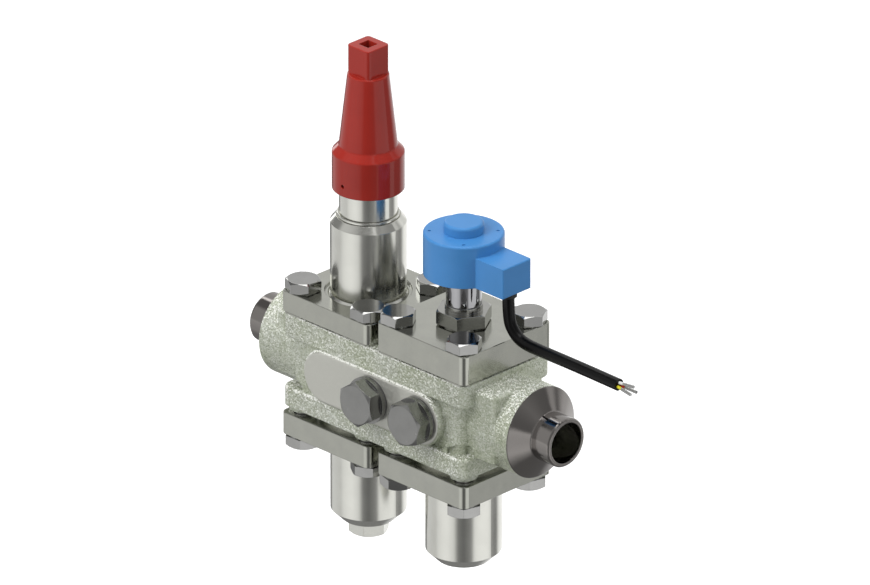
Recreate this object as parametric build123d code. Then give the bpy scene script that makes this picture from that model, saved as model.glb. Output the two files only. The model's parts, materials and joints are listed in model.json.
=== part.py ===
"""Refrigeration valve station: one casting that carries four screwed-in valve modules.

Millimetres. The origin is the centre of the inlet's weld face, +X is the way the refrigerant
flows and +Z is up. Upper left is a hand stop valve, lower left a strainer, upper right a
solenoid valve and lower right a check valve.
"""
from build123d import *
from math import cos, radians, sin, sqrt, tan
import os

os.makedirs("parts", exist_ok=True)

# Pipe ends, for a 26.9 mm outside diameter steel pipe
face_to_face = 220.0
pipe_outer_r = 13.45
pipe_bore_r = 11.15
pipe_bore_length = 30.0
inner_bore_r = 10.3
weld_land = 1.6
weld_bevel_angle = 37.5
stub_length = 12.7
cone_length = 6.4
neck_r = 25.0

# Casting
module_pitch = 70.0
cover_side = 65.0
top_height = 27.65
bottom_depth = 25.2
top_flange = 13.65
bottom_flange = 11.2
casting_corner_r = 6.0
casting_edge_r = 1.8
waist_length = 124.8
waist_width = 61.0
waist_corner_r = 6.5
web_reach = 81.3
inlet_web_width = 43.0
outlet_web_width = 49.0
inlet_web_top = 21.0
outlet_web_top = 24.0
web_corner_r = 2.0
web_edge_r = 2.2
pad_half_height = 15.0
pad_proud = 3.0
pad_edge_r = 2.0
wrench_r = 20.4
wrench_foot_r = 18.6
wrench_depth = 2.2
spot_face_r = 13.2
spot_face_sink = 0.4
nut_room_r = 8.5
nut_room_height = 5.5
boss_r = 7.5
boss = 2.4
chamber_r = 22.0
lower_chamber_r = 20.0
wall_between = 4.0
passage_r = 6.5

# Clearances
press_gap = 0.05
running_gap = 0.04
loose_gap = 0.3
seat_gap = 0.1

# Cover plates and their bolts
cover_corner_r = 3.7
cover_edge_r = 0.3
stop_cover_top = 40.1
solenoid_cover_top = 44.7
lower_cover = 12.5
seam = 0.8
corner_pad_r = 9.5
bolt_spacing = 48.0
bolt_shank_r = 5.0
bolt_hole_r = 5.5
bolt_head_flats = 17.0
bolt_head = 6.4
washer_face = 0.5
head_rim = 0.96
stop_bolt_turns = (32, 10, -1, 27)
solenoid_bolt_turns = (5, 10, 2, -1)
strainer_bolt_turns = (2, 20, 29, 50)
check_bolt_turns = (43, 5, 15, 15)
thread_core_r = 4.25
upper_bolt_end = 12.0
lower_bolt_end = 9.2

# Stop valve
housing_r = 20.0
housing_top = 83.7
housing_chamfer = 3.7
neck_ring_r = 16.5
neck_ring = 1.4
neck_ring_edge = 0.3
neck_groove = 0.45
neck_groove_depth = 0.6
bonnet_r = 15.3
bonnet_top = 110.0
groove_r = 22.6
groove_depth = 1.4
groove_edge = 0.5
housing_bead = 1.2
insert_flange_r = 27.0
insert_flange = 4.2
gasket = 0.6
gasket_r = 26.0
spigot_depth = 12.65
relief_r = 14.0
relief_top = 66.0
spindle_r = 5.0
spindle_foot = -2.0
spindle_square = 6.9
spindle_square_foot = 124.0
spindle_top = 140.0
packing_foot = 88.0
packing_r = 9.0
gland_thread_foot = 98.0
gland_thread_r = 10.0
gland_flats = 17.0
gland_top = 113.5
cone_disc_r = 14.0
cone_disc = 6.0
cone_hub_r = 8.0
cone_hub_top = 8.0
cone_seal_inner_r = 10.5
cone_seal_outer_r = 13.0
cone_seal = 2.0
seat_ring_r = 15.0
seat_ring = 3.0
seat_sleeve_r = 11.0
seat_bore_r = 9.5

# Cap of the stop valve
cap_r = 19.0
cap_foot = 99.3
cap_skirt_top = 119.8
cap_shoulder = 123.6
cap_shoulder_r = 1.2
cap_cone_r = 15.4
cap_cone_top_r = 10.9
cap_cone_top = 164.0
cap_square = 16.0
cap_square_corner_r = 2.2
cap_top = 180.1
cap_wall = 3.0
cap_roof = 154.0
cap_thread_top = 112.0
key_socket = 7.1
key_depth = 12.0
cap_seal = 2.0
cap_seal_r = 17.5
wire_hole_r = 1.1
wire_hole_height = 5.5

# Solenoid valve
nut_flats = 26.0
nut_turn = 1.5
nut_rim = 1.06
nut_washer_face = 0.8
nut_top = 52.9
nut_collar_r = 10.0
nut_collar_top = 55.9
tube_r = 9.35
tube_shoulder = 71.6
tube_slim_r = 6.75
tube_roof = 2.4
armature_r = 4.5
armature_foot = 45.6
armature_length = 36.0
armature_spring = 10.0
tube_thread_foot = 41.5
pilot_seat_r = 4.0
pilot_orifice_r = 0.9
piston_r = 15.0
piston_nose_r = 12.0
piston_nose = 3.4
piston_top = 32.0
piston_cup_r = 11.5
piston_travel = 4.5
cylinder_r = 18.5
cylinder_foot = 22.0
ring_groove = 0.9
ring_height = 2.0
ring_foot = 26.5

# Coil of the solenoid
coil_foot = 73.1
coil_r = 21.25
coil_above_tube = 2.6
coil_edge_r = 1.2
box_end = 38.9
box_half_width = 10.25
box_height = 17.0
box_edge_r = 0.8
knob_r = 10.5
knob_height = 5.7
knob_edge_r = 1.6
dimple_r = 0.9
dimple_depth = 0.6
dimple_circle_r = 17.8
bobbin_r = 17.0
bobbin_core_r = 9.0
coil_wall = 3.8
bobbin_cheek = 1.6
yoke_r = 18.6
oring_r = 8.6

# Flying lead
cable_r = 3.25
cable_exit = 32.5
lead_first = 26.0
lead_second = 53.0
lead_end = 80.5
core_r = 0.85
core_length = 10.5
core_circle_r = 1.25
core_spread = 0.12
grommet_r = 4.6
grommet_length = 3.0

# Lower modules
flange_inset = 1.0
lower_seam = 4.5
lower_flange = 1.6
lower_flange_corner_r = 7.5
raised_face_r = 25.5
raised_face = 3.5
barrel_r = 20.0
barrel_end = 84.2
barrel_nose_r = 14.2
barrel_nose = 5.8
barrel_bore_r = 16.0
barrel_floor = 78.0
spigot_rise = 7.0
drain_flats = 19.0
drain_turn = 1
drain_top_gap = 0.6
drain_head = 7.8
drain_thread_r = 6.5
drain_washer_r = 9.6
mesh_r = 15.0
mesh_wall = 0.8
mesh_end = 74.0
check_seat_top = 11.5
check_disc_r = 12.5
check_disc = 4.0
check_stem_r = 4.0
check_stem_end = 40.0
guide_top = 26.0
guide_thickness = 6.0
guide_boss_r = 7.5

# Front ports
port_r = 6.6
plug_flats = 22.0
plug_hex = 7.8
plug_collar_r = 12.6
plug_collar = 2.2
plug_washer = 1.5
plug_thread = 9.0

# Coil springs
piston_spring_r = 9.0
piston_wire_r = 0.8
armature_spring_r = 3.2
armature_wire_r = 0.45
check_spring_r = 10.0
check_wire_r = 0.8

tube_top = armature_foot + armature_length + armature_spring + tube_roof
coil_top = tube_top + coil_above_tube
bobbin_foot = coil_foot + coil_wall
bobbin_top = coil_top - coil_wall
x_stop = face_to_face / 2 - module_pitch / 2
x_solenoid = face_to_face / 2 + module_pitch / 2
stop_floor = -(pipe_bore_r + 0.35)
solenoid_floor = check_seat_top + wall_between
lower_roof = stop_floor - wall_between
piston_foot = solenoid_floor + seat_ring + seat_gap
cylinder_roof = piston_top + piston_travel
cover_foot = top_height + seam
gasket_top = top_height + gasket
pocket_roof = gasket_top + insert_flange
front_wall = -waist_width / 2
pad_face = front_wall - pad_proud
flange_top = -(bottom_depth + lower_seam)
flange_foot = flange_top - lower_flange
raised_top = flange_top + raised_face
cover_low = flange_top - lower_cover
flange_side = cover_side - 2 * flange_inset
UP = (Align.CENTER, Align.CENTER, Align.MIN)


def disc(radius, low, high, x=0.0, y=0.0):
    """A round bar standing between two heights."""
    return Pos(x, y, low) * Cylinder(radius, high - low, align=UP)


def ring(outer, inner, low, high, x=0.0, y=0.0):
    """A tube standing between two heights."""
    return disc(outer, low, high, x, y) - disc(inner, low, high, x, y)


def turned(profile, x=0.0):
    """A turned piece from its half section, given as radius and height pairs."""
    outline = Polyline([(radius, 0, height) for radius, height in profile], close=True)
    return Pos(x, 0, 0) * revolve(make_face(outline), Axis.Z)


def slab(length, width, corner_r, low, high, x=0.0):
    """A plate with rounded upright corners between two heights."""
    return extrude(Pos(x, 0, low) * RectangleRounded(length, width, corner_r), high - low)


def edges_at(solid, height):
    """The edges that lie flat at one height."""
    return solid.edges().filter_by_position(Axis.Z, height - 0.001, height + 0.001)


def hexagon(flats, low, high, x=0.0, y=0.0, turn=0.0):
    """A hexagon bar standing between two heights."""
    face = RegularPolygon(flats / 2, 6, major_radius=False, rotation=turn)
    return extrude(Pos(x, y, low) * face, high - low)


def hex_head(flats, low, high, face_up=True, turn=0.0, rim_share=head_rim):
    """A hexagon whose outer corners are turned back at 30 degrees on one face."""
    corner = flats / sqrt(3)
    rim = rim_share * flats / 2
    cut = (corner - rim) * tan(radians(30))
    if face_up:
        bar = turned([(0, low), (corner, low), (corner, high - cut), (rim, high), (0, high)])
    else:
        bar = turned([(0, low), (rim, low), (corner, low + cut), (corner, high), (0, high)])
    return bar & hexagon(flats, low, high, turn=turn)


def bolt_places(x):
    """The four bolt axes of the module whose axis stands at x."""
    half = bolt_spacing / 2
    return [(x + i * half, j * half) for i in (-1, 1) for j in (-1, 1)]


def cover_bolt(face, upward, turn):
    """One cover bolt on the Z axis: head outside the cover face, thread in the casting."""
    washer_r = head_rim * bolt_head_flats / 2
    if upward:
        end = top_height - upper_bolt_end
        head = hex_head(bolt_head_flats, face + washer_face, face + bolt_head, True, turn)
        head += disc(washer_r, face, face + washer_face)
        shank = disc(bolt_shank_r, top_height, face) + disc(thread_core_r, end, top_height)
    else:
        end = lower_bolt_end - bottom_depth
        boss_foot = -(bottom_depth + boss)
        head = hex_head(bolt_head_flats, face - bolt_head, face - washer_face, False, turn)
        head += disc(washer_r, face - washer_face, face)
        shank = disc(bolt_shank_r, face, boss_foot) + disc(thread_core_r, boss_foot, end)
    return head + shank


def bolt_set(x, face, upward, turns):
    """The four bolts of one cover, each head stopped at its own angle."""
    bolts = []
    for turn, (px, py) in zip(turns, bolt_places(x)):
        bolts.append(Pos(px, py, 0) * cover_bolt(face, upward, turn))
    return Compound(children=bolts)


def pipe_end():
    """Weld stub, cone and neck of the inlet, turned about the pipe's axis."""
    land_r = pipe_bore_r + weld_land
    bevel = (pipe_outer_r - land_r) / tan(radians(weld_bevel_angle))
    cone_end = stub_length + cone_length
    root = face_to_face / 2 - waist_length / 2 + waist_corner_r
    profile = Polyline(
        [(0, 0), (0, land_r), (bevel, pipe_outer_r), (stub_length, pipe_outer_r),
         (cone_end, neck_r), (root, neck_r), (root, 0)], close=True)
    return revolve(make_face(Plane.XZ * profile), Axis.X)


def front_port(x, depth_end):
    """A port drilled from the front pad back to depth_end."""
    depth = depth_end - pad_face
    return Pos(x, pad_face + depth / 2, 0) * Rot(X=90) * Cylinder(port_r, depth)


def pipe_bore():
    """The inlet's bore: the pipe's own bore, then a narrower port into the chamber."""
    bore = Rot(Y=90) * Cylinder(pipe_bore_r, pipe_bore_length, align=UP)
    return bore + Rot(Y=90) * Cylinder(inner_bore_r, x_stop, align=UP)


def casting_web(width, high, side):
    """The block between the waist and one pipe end; side is -1 at the inlet, 1 at the outlet."""
    middle = face_to_face / 2
    foot = bottom_flange - bottom_depth
    web = slab(web_reach, width, web_corner_r, foot, high, middle + side * web_reach / 2)
    return fillet(edges_at(web, high), web_edge_r)


def wrench_room():
    """The shallow dish in the waist's wall that lets a socket on to the outlet side's plug."""
    dish = Cone(wrench_foot_r, wrench_r, wrench_depth)
    return Pos(x_solenoid, front_wall + wrench_depth / 2, 0) * Rot(X=90) * dish


def nut_room():
    """Room cast above the bottom flange for a corner bolt's end, with a sloping roof."""
    knee = nut_room_height / 2
    return turned([
        (0, -spot_face_sink), (nut_room_r, -spot_face_sink), (nut_room_r, knee),
        (nut_room_r - knee, nut_room_height), (0, nut_room_height)])


def body_casting():
    """The casting: two flanges, waist, webs, pipe ends, front pad, chambers and passages."""
    middle = face_to_face / 2
    length = module_pitch + cover_side
    flange_low = top_height - top_flange
    flange_high = bottom_flange - bottom_depth
    upper = slab(length, cover_side, casting_corner_r, flange_low, top_height, middle)
    upper = fillet(edges_at(upper, flange_low), casting_edge_r)
    lower = slab(length, cover_side, casting_corner_r, -bottom_depth, flange_high, middle)
    lower = fillet(edges_at(lower, flange_high), casting_edge_r)
    waist = slab(waist_length, waist_width, waist_corner_r, flange_high, flange_low, middle)
    waist -= wrench_room()
    inlet_web = casting_web(inlet_web_width, inlet_web_top, -1)
    webs = casting_web(outlet_web_width, outlet_web_top, 1) + inlet_web
    pad_slot = SlotCenterToCenter(module_pitch, 2 * pad_half_height)
    pad_depth = waist_corner_r + pad_proud
    pad = extrude(Plane.XZ.offset(-pad_face - pad_depth) * Pos(middle, 0) * pad_slot, pad_depth)
    pad = fillet(pad.edges().group_by(Axis.Y)[0], pad_edge_r)
    end = pipe_end()
    far_end = mirror(end, Plane.YZ.offset(middle))
    body = upper + lower + waist + webs + pad + end + far_end
    sunk_walls = Pos(0, 0, -spot_face_sink) * (waist + webs)
    for x in (x_stop, x_solenoid):
        for px, py in bolt_places(x):
            if abs(px - middle) > module_pitch / 2:
                spot_face = disc(spot_face_r, flange_high - spot_face_sink, flange_high, px, py)
                body -= spot_face - sunk_walls
                body -= Pos(px, py, flange_high) * nut_room()
            body += disc(boss_r, -bottom_depth - boss, -bottom_depth, px, py)
            body -= disc(thread_core_r + press_gap, flange_low, top_height, px, py)
            body -= disc(thread_core_r + press_gap, -bottom_depth - boss, flange_high, px, py)
    body -= disc(chamber_r, stop_floor, top_height, x_stop)
    body -= disc(seat_sleeve_r + press_gap, lower_roof, stop_floor, x_stop)
    body -= disc(lower_chamber_r, -bottom_depth, lower_roof, x_stop)
    body -= disc(chamber_r, solenoid_floor, top_height, x_solenoid)
    body -= disc(seat_sleeve_r + press_gap, check_seat_top, solenoid_floor, x_solenoid)
    body -= disc(lower_chamber_r, -bottom_depth, check_seat_top, x_solenoid)
    body -= pipe_bore()
    body -= mirror(pipe_bore(), Plane.YZ.offset(middle))
    foot = Vector(x_stop + lower_chamber_r / 2, 0, lower_roof - passage_r / 2)
    head = Vector(x_solenoid - chamber_r / 2, 0, solenoid_floor + passage_r)
    run = head - foot
    body -= Plane(origin=foot, z_dir=run) * Cylinder(passage_r, run.length, align=UP)
    body -= front_port(middle, -passage_r / 2)
    body -= front_port(x_solenoid, -lower_chamber_r / 2)
    return body


def cover_plate(x, low, high, bore_r, pads_up):
    """A square cover plate with four bolt holes and low pads under its corners."""
    plate = slab(cover_side, cover_side, cover_corner_r, low, high, x)
    plate = chamfer(edges_at(plate, low) + edges_at(plate, high), cover_edge_r)
    square = slab(cover_side, cover_side, cover_corner_r, low - seam, low, x)
    if pads_up:
        for px, py in bolt_places(x):
            plate += disc(corner_pad_r, low - seam, low, px, py) & square
    for px, py in bolt_places(x):
        plate -= disc(bolt_hole_r, low - seam, high, px, py)
    return plate - disc(bore_r, low - seam, high, x)


def stop_cover_plate():
    plate = cover_plate(x_stop, cover_foot, stop_cover_top, housing_r + press_gap, True)
    plate -= disc(insert_flange_r + press_gap, cover_foot - seam, pocket_roof, x_stop)
    groove_foot = stop_cover_top - groove_depth
    return plate - turned([
        (0, groove_foot), (groove_r, groove_foot), (groove_r, stop_cover_top - groove_edge),
        (groove_r + groove_edge, stop_cover_top), (0, stop_cover_top)], x_stop)


def stop_housing():
    spigot_foot = top_height - spigot_depth
    spigot_r = chamber_r - press_gap
    ring_top = housing_top + neck_ring
    bead_foot = stop_cover_top - groove_depth + press_gap
    return turned([
        (relief_r, spigot_foot), (spigot_r, spigot_foot), (spigot_r, gasket_top),
        (insert_flange_r, gasket_top), (insert_flange_r, pocket_roof),
        (housing_r, pocket_roof), (housing_r, bead_foot), (housing_r + housing_bead, bead_foot),
        (housing_r, bead_foot + housing_bead), (housing_r, housing_top - housing_chamfer),
        (neck_ring_r + neck_groove, housing_top),
        (neck_ring_r + neck_groove, housing_top - neck_groove_depth),
        (neck_ring_r, housing_top - neck_groove_depth), (neck_ring_r, ring_top - neck_ring_edge),
        (neck_ring_r - neck_ring_edge, ring_top), (bonnet_r + neck_groove, ring_top),
        (bonnet_r + neck_groove, ring_top - neck_groove_depth),
        (bonnet_r, ring_top - neck_groove_depth),
        (bonnet_r, bonnet_top), (gland_thread_r, bonnet_top),
        (gland_thread_r, gland_thread_foot), (packing_r, gland_thread_foot),
        (packing_r, packing_foot), (spindle_r + running_gap, packing_foot),
        (spindle_r + running_gap, relief_top), (relief_r, relief_top)], x_stop)


def face_gasket(x, outer_r, inner_r, low, high):
    return ring(outer_r, inner_r, low, high, x)


def stop_cap():
    """Cap: round skirt, cone and square head, hollow, with a key socket in its top."""
    outer = turned([
        (0, cap_foot), (cap_r, cap_foot), (cap_r, cap_skirt_top), (cap_cone_r, cap_shoulder),
        (cap_cone_top_r, cap_cone_top), (0, cap_cone_top)])
    outer = fillet(edges_at(outer, cap_skirt_top) + edges_at(outer, cap_shoulder), cap_shoulder_r)
    outer = fillet(edges_at(outer, cap_cone_top), 0.8)
    square = slab(cap_square, cap_square, cap_square_corner_r, cap_cone_top - cap_wall, cap_top)
    square = fillet(edges_at(square, cap_top), 0.5)
    slope = (cap_cone_r - cap_cone_top_r) / (cap_cone_top - cap_shoulder)
    roof_r = cap_cone_r - slope * (cap_roof - cap_shoulder) - cap_wall
    neck_in = cap_cone_r - cap_wall
    seal_top = cap_foot + cap_seal
    hollow = turned([
        (0, cap_foot), (cap_seal_r + running_gap, cap_foot),
        (cap_seal_r + running_gap, seal_top + running_gap),
        (bonnet_r + running_gap, seal_top + running_gap),
        (bonnet_r + running_gap, cap_thread_top), (neck_in, cap_thread_top + cap_wall),
        (roof_r, cap_roof), (0, cap_roof)])
    socket = Pos(0, 0, cap_top - key_depth) * Box(key_socket, key_socket, key_depth, align=UP)
    wire = Pos(0, -cap_r, cap_foot + wire_hole_height) * Rot(X=90)
    wire_hole = wire * Cylinder(wire_hole_r, 2 * (cap_r - bonnet_r))
    return Pos(x_stop, 0, 0) * (outer + square - hollow - socket - wire_hole)


def stop_spindle():
    shaft = disc(spindle_r, spindle_foot, spindle_square_foot)
    side = spindle_square
    end = Pos(0, 0, spindle_square_foot) * Box(side, side, spindle_top - spindle_square_foot, align=UP)
    return Pos(x_stop, 0, 0) * (shaft + end)


def stop_valve_cone():
    foot = stop_floor + seat_ring + seat_gap
    top = foot + cone_disc
    bore_r = spindle_r + running_gap
    groove_top = foot + cone_seal
    return turned([
        (0, foot), (cone_seal_inner_r, foot), (cone_seal_inner_r, groove_top),
        (cone_seal_outer_r, groove_top), (cone_seal_outer_r, foot),
        (cone_disc_r, foot), (cone_disc_r, top), (cone_hub_r, top + 1),
        (cone_hub_r, cone_hub_top), (bore_r, cone_hub_top),
        (bore_r, spindle_foot - running_gap), (0, spindle_foot - running_gap)], x_stop)


def stop_cone_seal():
    foot = stop_floor + seat_ring + seat_gap
    return ring(cone_seal_outer_r, cone_seal_inner_r, foot, foot + cone_seal, x_stop)


def seat_bush(x, floor, wall_low):
    """A seat bush: its flange on the chamber floor, its sleeve in the wall."""
    return turned([
        (seat_bore_r, wall_low), (seat_sleeve_r, wall_low), (seat_sleeve_r, floor),
        (seat_ring_r, floor), (seat_ring_r, floor + seat_ring - 1),
        (seat_ring_r - 1, floor + seat_ring), (seat_bore_r, floor + seat_ring)], x)


def stop_packing_gland():
    bore_r = spindle_r + loose_gap
    thread = ring(gland_thread_r - press_gap, bore_r, gland_thread_foot, bonnet_top)
    head = hex_head(gland_flats, bonnet_top, gland_top) - disc(bore_r, bonnet_top, gland_top)
    return Pos(x_stop, 0, 0) * (thread + head)


def solenoid_cover():
    plate = cover_plate(x_solenoid, cover_foot, solenoid_cover_top, tube_r, True)
    plate -= disc(insert_flange_r + press_gap, top_height, gasket_top, x_solenoid)
    spigot_foot = top_height - seam - insert_flange / 2
    insert = disc(insert_flange_r, gasket_top, pocket_roof, x_solenoid)
    insert += disc(chamber_r - press_gap, spigot_foot, gasket_top, x_solenoid)
    insert += disc(cylinder_r, cylinder_foot, gasket_top, x_solenoid)
    cover = plate + insert + disc(tube_r, cylinder_roof, solenoid_cover_top, x_solenoid)
    cover -= disc(piston_r + running_gap, cylinder_foot, cylinder_roof, x_solenoid)
    cover -= disc(tube_r - 2 + press_gap, tube_thread_foot, solenoid_cover_top, x_solenoid)
    cover -= disc(pilot_seat_r + press_gap, cylinder_roof + 2, tube_thread_foot, x_solenoid)
    cover -= disc(pilot_orifice_r, cylinder_roof, cylinder_roof + 2, x_solenoid)
    return cover


def servo_piston():
    nose_top = piston_foot + piston_nose
    groove_r = piston_r - ring_groove
    ring_top = ring_foot + ring_height
    return turned([
        (0, piston_foot), (piston_nose_r, piston_foot), (piston_nose_r, nose_top),
        (piston_r, nose_top), (piston_r, ring_foot), (groove_r, ring_foot),
        (groove_r, ring_top), (piston_r, ring_top), (piston_r, piston_top),
        (piston_cup_r, piston_top), (piston_cup_r, nose_top + 1), (0, nose_top + 1)], x_solenoid)


def piston_ring():
    inner = piston_r - ring_groove
    return ring(piston_r + running_gap / 2, inner, ring_foot, ring_foot + ring_height, x_solenoid)


def coil_spring(x, radius, wire_r, low, high, turns):
    """A compression spring between two faces."""
    height = high - low - 2 * wire_r
    path = Helix(pitch=height / turns, height=height, radius=radius)
    section = Plane(origin=path @ 0, z_dir=path % 0) * Circle(wire_r)
    return Pos(x, 0, low + wire_r) * sweep(section, path=path)


def armature_tube():
    bore_r = armature_r + running_gap
    slim_bore = armature_foot + armature_length + armature_spring
    thread_r = tube_r - 2
    return turned([
        (bore_r, tube_thread_foot), (thread_r, tube_thread_foot),
        (thread_r, solenoid_cover_top), (tube_r, solenoid_cover_top), (tube_r, tube_shoulder),
        (tube_slim_r, tube_shoulder), (tube_slim_r, tube_top - 1), (tube_slim_r - 1, tube_top),
        (0, tube_top), (0, slim_bore), (bore_r, slim_bore)], x_solenoid)


def armature_nut():
    """Hexagon nut on a round washer face, with a low collar round the tube."""
    face = solenoid_cover_top + nut_washer_face
    nut = hex_head(nut_flats, face, nut_top, turn=nut_turn, rim_share=nut_rim)
    nut += disc(head_rim * nut_flats / 2, solenoid_cover_top, face)
    nut += disc(nut_collar_r, nut_top, nut_collar_top)
    bore = disc(tube_r + press_gap, solenoid_cover_top, nut_collar_top)
    return Pos(x_solenoid, 0, 0) * (nut - bore)


def armature():
    top = armature_foot + armature_length
    tip_foot = tube_thread_foot + seat_gap
    return turned([
        (0, tip_foot), (pilot_orifice_r, tip_foot), (pilot_orifice_r * 2, armature_foot),
        (armature_r, armature_foot), (armature_r, top), (0, top)], x_solenoid)


def pilot_seat():
    return ring(pilot_seat_r, pilot_orifice_r, cylinder_roof + 2, tube_thread_foot, x_solenoid)


def coil_housing():
    """Moulded coil body: round drum with a terminal box on one side."""
    drum = disc(coil_r, coil_foot, coil_top)
    drum = fillet(edges_at(drum, coil_top), coil_edge_r)
    box = Pos(0, -box_half_width, coil_foot)
    block = box * Box(box_end, 2 * box_half_width, box_height, align=(Align.MIN,) * 3)
    block = fillet(block.faces().sort_by(Axis.X)[-1].edges(), box_edge_r)
    body = drum + block
    for angle in (45, 135, 225, 315):
        px = dimple_circle_r * cos(radians(angle))
        py = dimple_circle_r * sin(radians(angle))
        body -= disc(dimple_r, coil_top - dimple_depth, coil_top, px, py)
    body -= disc(tube_slim_r + running_gap, coil_foot, coil_top)
    body -= disc(yoke_r, bobbin_foot, bobbin_top) - disc(bobbin_core_r - 1.4, bobbin_foot, bobbin_top)
    body -= disc(cable_r, coil_foot, coil_foot + box_height / 2, cable_exit)
    return Pos(x_solenoid, 0, 0) * body


def coil_bobbin():
    core = bobbin_core_r - 1.4
    low = bobbin_foot + bobbin_cheek
    high = bobbin_top - bobbin_cheek
    return turned([
        (core, bobbin_foot), (bobbin_r, bobbin_foot), (bobbin_r, low), (bobbin_core_r, low),
        (bobbin_core_r, high), (bobbin_r, high), (bobbin_r, bobbin_top), (core, bobbin_top)], x_solenoid)


def coil_winding():
    low = bobbin_foot + bobbin_cheek
    high = bobbin_top - bobbin_cheek
    return ring(bobbin_r - 0.6, bobbin_core_r, low, high, x_solenoid)


def coil_yoke():
    return ring(yoke_r, bobbin_r, bobbin_foot, bobbin_top, x_solenoid)


def coil_lock_cap():
    knob_top = coil_top + knob_height
    knob = disc(knob_r, coil_top, knob_top)
    knob = fillet(edges_at(knob, knob_top), knob_edge_r)
    stem = disc(tube_slim_r, tube_top + loose_gap, coil_top)
    return Pos(x_solenoid, 0, 0) * (knob + stem)


def coil_oring():
    inner = tube_slim_r + running_gap
    return ring(oring_r, inner, tube_shoulder + running_gap, coil_foot, x_solenoid)


def cable_route():
    """The lead's corners: down from the box, a close bend, then away along the pipe."""
    start = x_solenoid + cable_exit
    return [
        (start, 0, coil_foot), (start, 0, 57.4), (start + 4.0, 0, 50.6), (start + 10.8, 0, 46.6),
        (start + lead_first, 0.15, 46.4), (start + lead_second, -0.15, 46.6), (start + lead_end, 0, 46.0)]


def corner_radii(points):
    """Each corner's arc: 0.45 of the shorter run over the tangent of half the turn."""
    radii = []
    for before, corner, after in zip(points, points[1:], points[2:]):
        arrive = Vector(corner) - Vector(before)
        leave = Vector(after) - Vector(corner)
        turn = radians(arrive.get_angle(leave))
        radii.append(0.45 * min(arrive.length, leave.length) / tan(turn / 2))
    return radii


def coil_cable():
    points = cable_route()
    radii = corner_radii(points)
    print("cable bend radii", [round(radius, 1) for radius in radii])
    path = FilletPolyline(*points, radius=radii)
    start = Plane(origin=points[0], z_dir=(0, 0, -1))
    print("cable length", round(path.length, 1))
    return sweep(start * Circle(cable_r), path=path)


def cable_core(index):
    """One of the three insulated cores that stand out of the lead's cut end."""
    before, last = [Vector(point) for point in cable_route()[-2:]]
    along = (last - before).normalized()
    angle = radians(90 + 120 * index)
    offset = Vector(0, core_circle_r * cos(angle), core_circle_r * sin(angle))
    spread = Vector(0, cos(angle), sin(angle)) * (core_length * core_spread)
    foot = last + offset + along * (1.1 * core_r * core_spread)
    tip = foot + along * core_length + spread
    length = (tip - foot).length
    return Plane(origin=foot, z_dir=tip - foot) * Cylinder(core_r, length, align=UP)


def cable_grommet():
    x = x_solenoid + cable_exit
    return ring(grommet_r, cable_r, coil_foot - grommet_length, coil_foot, x)


def lower_barrel(x, nose_bore_r):
    """A lower module's insert: square flange, location spigot and hollow round barrel."""
    spigot_r = lower_chamber_r - press_gap
    spigot_top = raised_top + spigot_rise
    flange = slab(flange_side, flange_side, lower_flange_corner_r, flange_foot, flange_top, x)
    for px, py in bolt_places(x):
        flange -= disc(bolt_hole_r, flange_foot, flange_top, px, py)
    nose_end = -(barrel_end + barrel_nose)
    barrel = turned([
        (0, nose_end), (barrel_nose_r, nose_end), (barrel_r, -barrel_end), (barrel_r, flange_top),
        (raised_face_r, flange_top), (raised_face_r, raised_top), (spigot_r, raised_top),
        (spigot_r, spigot_top), (barrel_bore_r, spigot_top),
        (barrel_bore_r, -barrel_floor), (0, -barrel_floor)], x)
    whole = flange + barrel
    if nose_bore_r:
        whole -= disc(nose_bore_r, nose_end, -barrel_floor, x)
    whole -= disc(barrel_bore_r, -barrel_floor, spigot_top, x)
    return whole


def lower_cover_plate(x):
    """A cover plate with a pocket that takes the insert's square flange flush."""
    plate = cover_plate(x, cover_low, flange_top, barrel_r + press_gap, False)
    pocket_side = flange_side + 2 * press_gap
    pocket_corner_r = lower_flange_corner_r + press_gap
    return plate - slab(pocket_side, pocket_side, pocket_corner_r, flange_foot, flange_top, x)


def drain_plug():
    face = -(barrel_end + barrel_nose + drain_top_gap)
    head = hex_head(drain_flats, face - drain_head, face, False, drain_turn)
    return Pos(x_stop, 0, 0) * (head + disc(drain_thread_r, face, -barrel_floor - 1))


def drain_plug_washer():
    high = -(barrel_end + barrel_nose)
    return ring(drain_washer_r, drain_thread_r + press_gap, high - drain_top_gap, high, x_stop)


def strainer_element():
    """Strainer basket: fine mesh tube with a collar on top and a closed foot."""
    top = lower_roof - 0.2
    collar = ring(mesh_r + 0.6, mesh_r - 3, top - 2, top, x_stop)
    wall = ring(mesh_r, mesh_r - mesh_wall, -mesh_end, top - 2, x_stop)
    foot = disc(mesh_r, -mesh_end - 2, -mesh_end, x_stop)
    return collar + wall + foot


def check_cone():
    top = check_seat_top - seat_ring - seat_gap
    foot = top - check_disc
    inner = seat_bore_r + 0.8
    outer = check_disc_r - 0.6
    groove = top - 1.5
    return turned([
        (0, -check_stem_end), (check_stem_r, -check_stem_end), (check_stem_r, foot - 4),
        (check_stem_r + 3, foot), (check_disc_r, foot), (check_disc_r, top), (outer, top),
        (outer, groove), (inner, groove), (inner, top), (0, top)], x_solenoid)


def check_cone_seal():
    top = check_seat_top - seat_ring - seat_gap
    return ring(check_disc_r - 0.6, seat_bore_r + 0.8, top - 1.5, top, x_solenoid)


def check_seat_ring():
    low = check_seat_top - seat_ring
    return ring(seat_ring_r, seat_bore_r, low, check_seat_top, x_solenoid)


def check_guide():
    low = -(guide_top + guide_thickness)
    hub = disc(guide_boss_r, low - 2 * guide_thickness, low, x_solenoid)
    plate = disc(barrel_bore_r - press_gap, low, -guide_top, x_solenoid)
    return plate + hub - disc(check_stem_r + running_gap, low - 20, 0, x_solenoid)


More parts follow.
